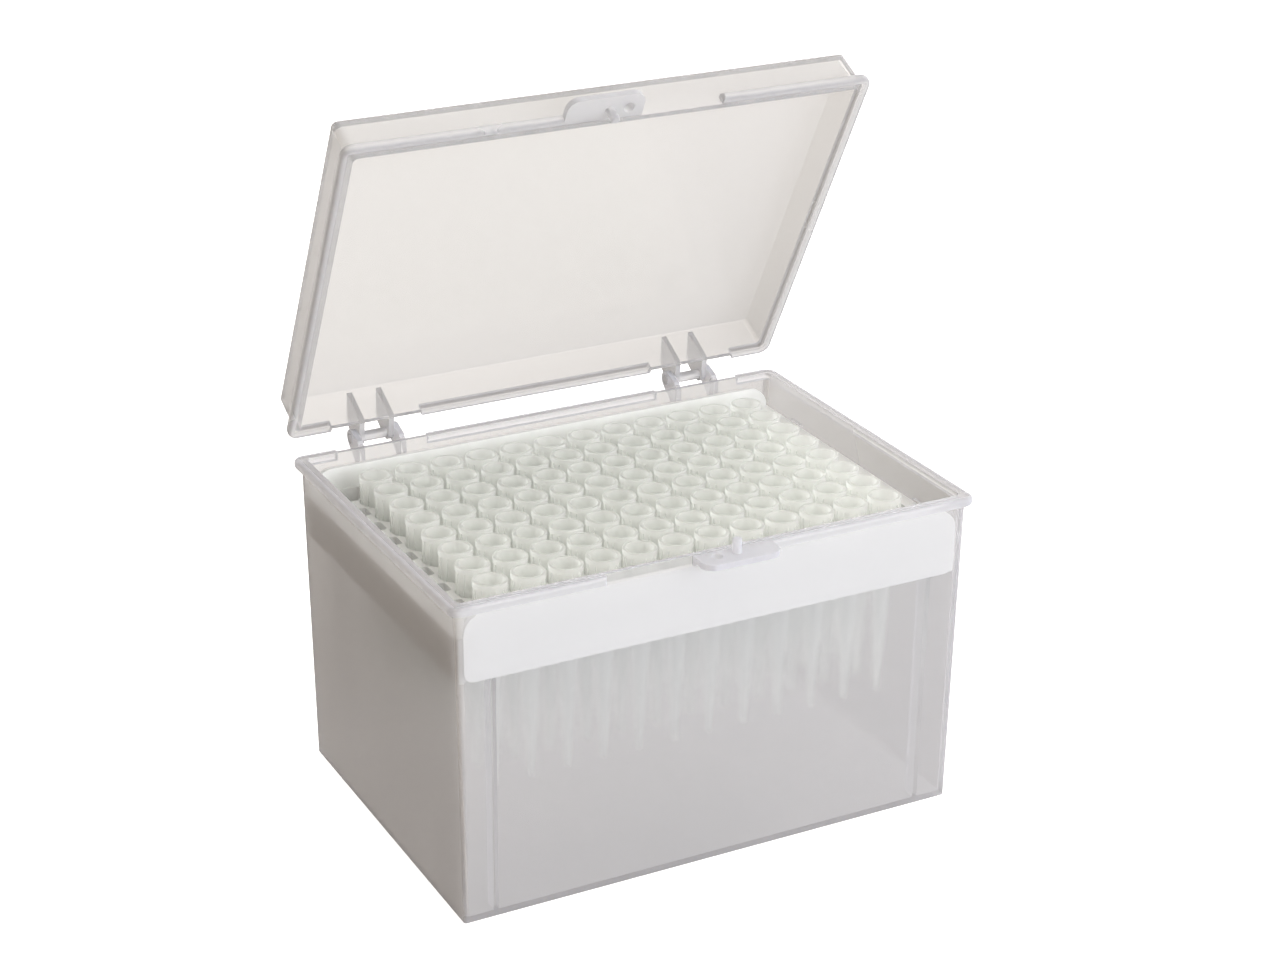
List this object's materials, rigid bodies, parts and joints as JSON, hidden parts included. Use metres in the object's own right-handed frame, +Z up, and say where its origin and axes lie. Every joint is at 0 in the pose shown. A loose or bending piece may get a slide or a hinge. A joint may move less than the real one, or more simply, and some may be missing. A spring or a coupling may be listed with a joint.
{
  "type": "box of pipette tips",
  "caption": "Hinged frosted plastic box, lid open, holding pipette tips upright in a drop-in tray for a multichannel or single pipette.",
  "frame": {"origin": "centre of the underside of the box, on the surface it stands on", "axes": "+X along the long side with the latch in front, +Y from the latch towards the hinges, +Z up"},
  "size_m": [0.13, 0.1073, 0.1676],
  "materials": {
    "box": "natural polypropylene, frosted outside, satin inside",
    "lid": "natural polypropylene, frosted outside, satin inside",
    "tray": "natural polypropylene, satin",
    "tip": "clear natural polypropylene, polished"
  },
  "bodies": {
    "box": {"base_box": "box", "tip_tray": "tray", "tips_01_ab": "tip", "tips_01_cd": "tip", "tips_01_ef": "tip", "tips_01_gh": "tip", "tips_02_ab": "tip", "tips_02_cd": "tip", "tips_02_ef": "tip", "tips_02_gh": "tip", "tips_03_ab": "tip", "tips_03_cd": "tip", "tips_03_ef": "tip", "tips_03_gh": "tip", "tips_04_ab": "tip", "tips_04_cd": "tip", "tips_04_ef": "tip", "tips_04_gh": "tip", "tips_05_ab": "tip", "tips_05_cd": "tip", "tips_05_ef": "tip", "tips_05_gh": "tip", "tips_06_ab": "tip", "tips_06_cd": "tip", "tips_06_ef": "tip", "tips_06_gh": "tip", "tips_07_ab": "tip", "tips_07_cd": "tip", "tips_07_ef": "tip", "tips_07_gh": "tip", "tips_08_ab": "tip", "tips_08_cd": "tip", "tips_08_ef": "tip", "tips_08_gh": "tip", "tips_09_ab": "tip", "tips_09_cd": "tip", "tips_09_ef": "tip", "tips_09_gh": "tip", "tips_10_ab": "tip", "tips_10_cd": "tip", "tips_10_ef": "tip", "tips_10_gh": "tip", "tips_11_ab": "tip", "tips_11_cd": "tip", "tips_11_ef": "tip", "tips_11_gh": "tip", "tips_12_ab": "tip", "tips_12_cd": "tip", "tips_12_ef": "tip", "tips_12_gh": "tip"},
    "lid": {"lid": "lid"}
  },
  "joints": [
    {"name": "lid_hinge", "type": "hinge", "parent": "box", "child": "lid", "pos_m": [0, 0.04944, 0.0783], "axis": [-1, 0, 0], "range_deg": [-62, 163]}
  ]
}
